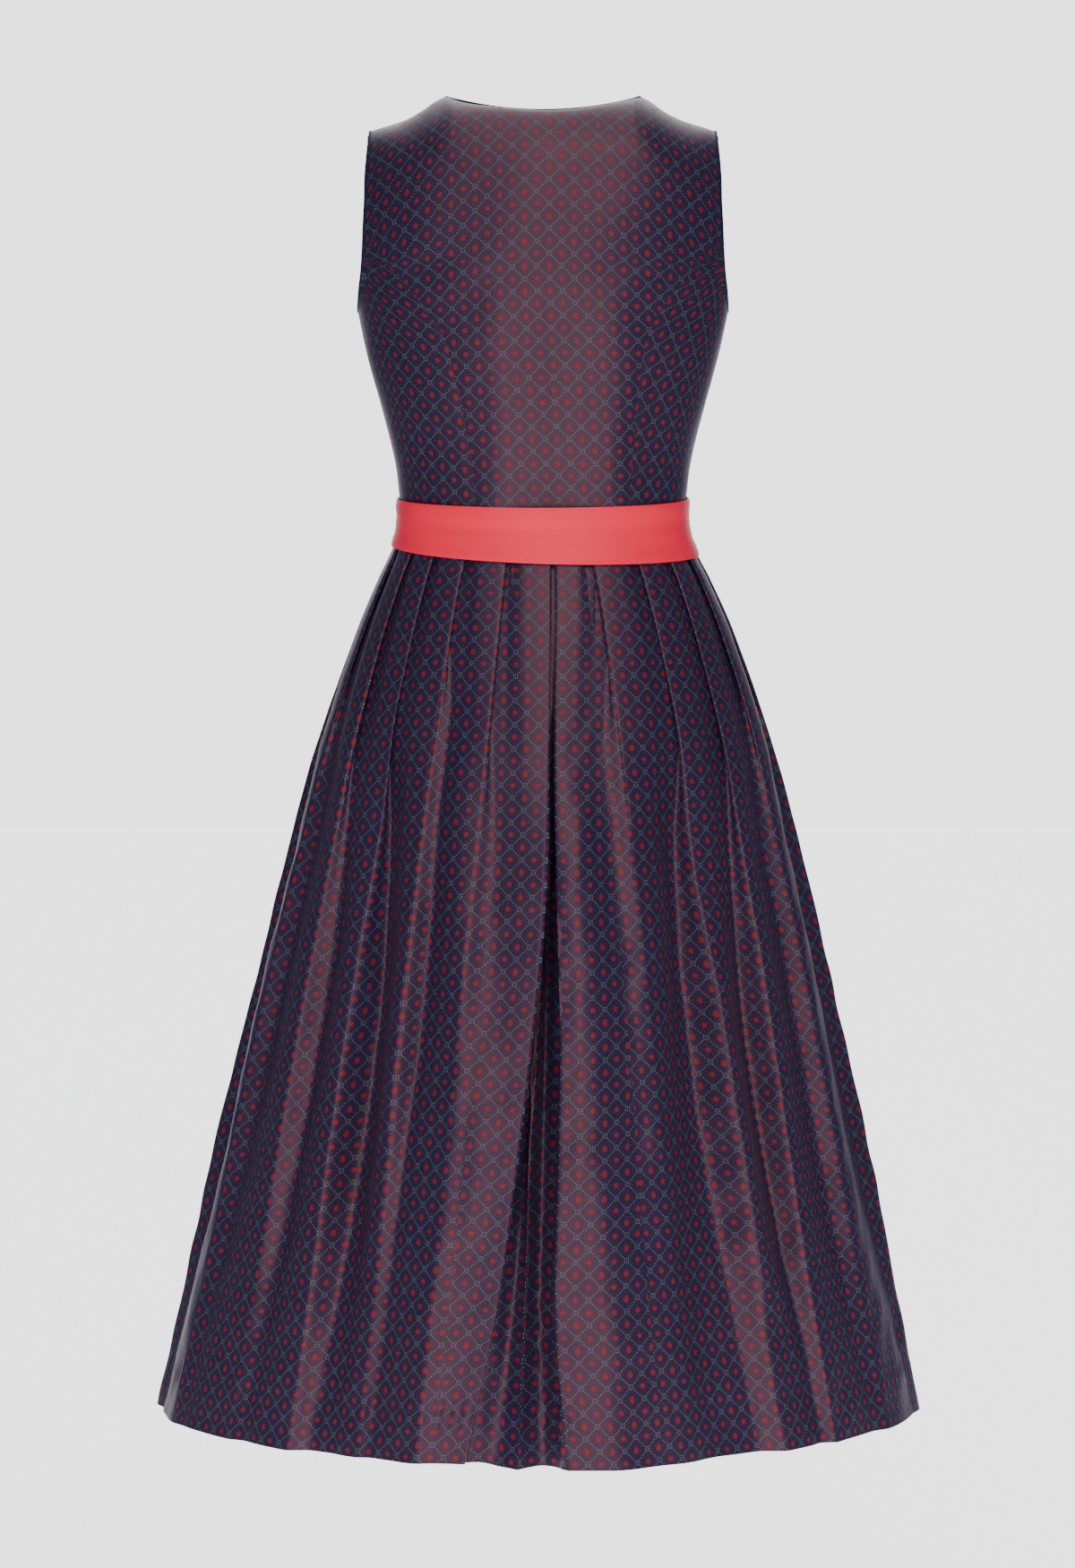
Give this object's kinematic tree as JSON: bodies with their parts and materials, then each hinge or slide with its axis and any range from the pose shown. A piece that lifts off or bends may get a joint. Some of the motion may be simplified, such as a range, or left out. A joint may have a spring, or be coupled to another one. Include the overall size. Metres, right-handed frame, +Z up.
{
  "type": "dirndl",
  "caption": "Sleeveless folk dress in its worn form: princess-seamed bodice, pleated midi skirt, satin sash with a bow and a gathered apron.",
  "frame": {"origin": "midway between the shoulder seams, level with their neck ends, where the dress hangs from the shoulders", "axes": "+Z up, -Y the front, +X the wearer's left"},
  "size_m": [0.6373, 0.5226, 1.0872],
  "materials": {
    "jacquard": "shot satin jacquard with a small floral lattice",
    "piping": "dark navy bias piping",
    "satin": "smooth coral satin",
    "button": "cloth-covered button"
  },
  "bodies": {
    "root": {"apron": "satin", "armhole_piping_left": "piping", "armhole_piping_right": "piping", "bodice_back": "jacquard", "bodice_front_left": "jacquard", "bodice_front_right": "jacquard", "bodice_side_back_left": "jacquard", "bodice_side_back_right": "jacquard", "bodice_side_front_left": "jacquard", "bodice_side_front_right": "jacquard", "bow_knot": "satin", "bow_loop_front": "satin", "bow_loop_side": "satin", "bow_tail_front": "satin", "bow_tail_side": "satin", "button_1": "button", "button_2": "button", "button_3": "button", "button_4": "button", "button_5": "button", "button_6": "button", "neck_piping": "piping", "sash": "satin", "skirt_back_left": "jacquard", "skirt_back_right": "jacquard", "skirt_front_left": "jacquard", "skirt_front_right": "jacquard"}
  },
  "joints": []
}
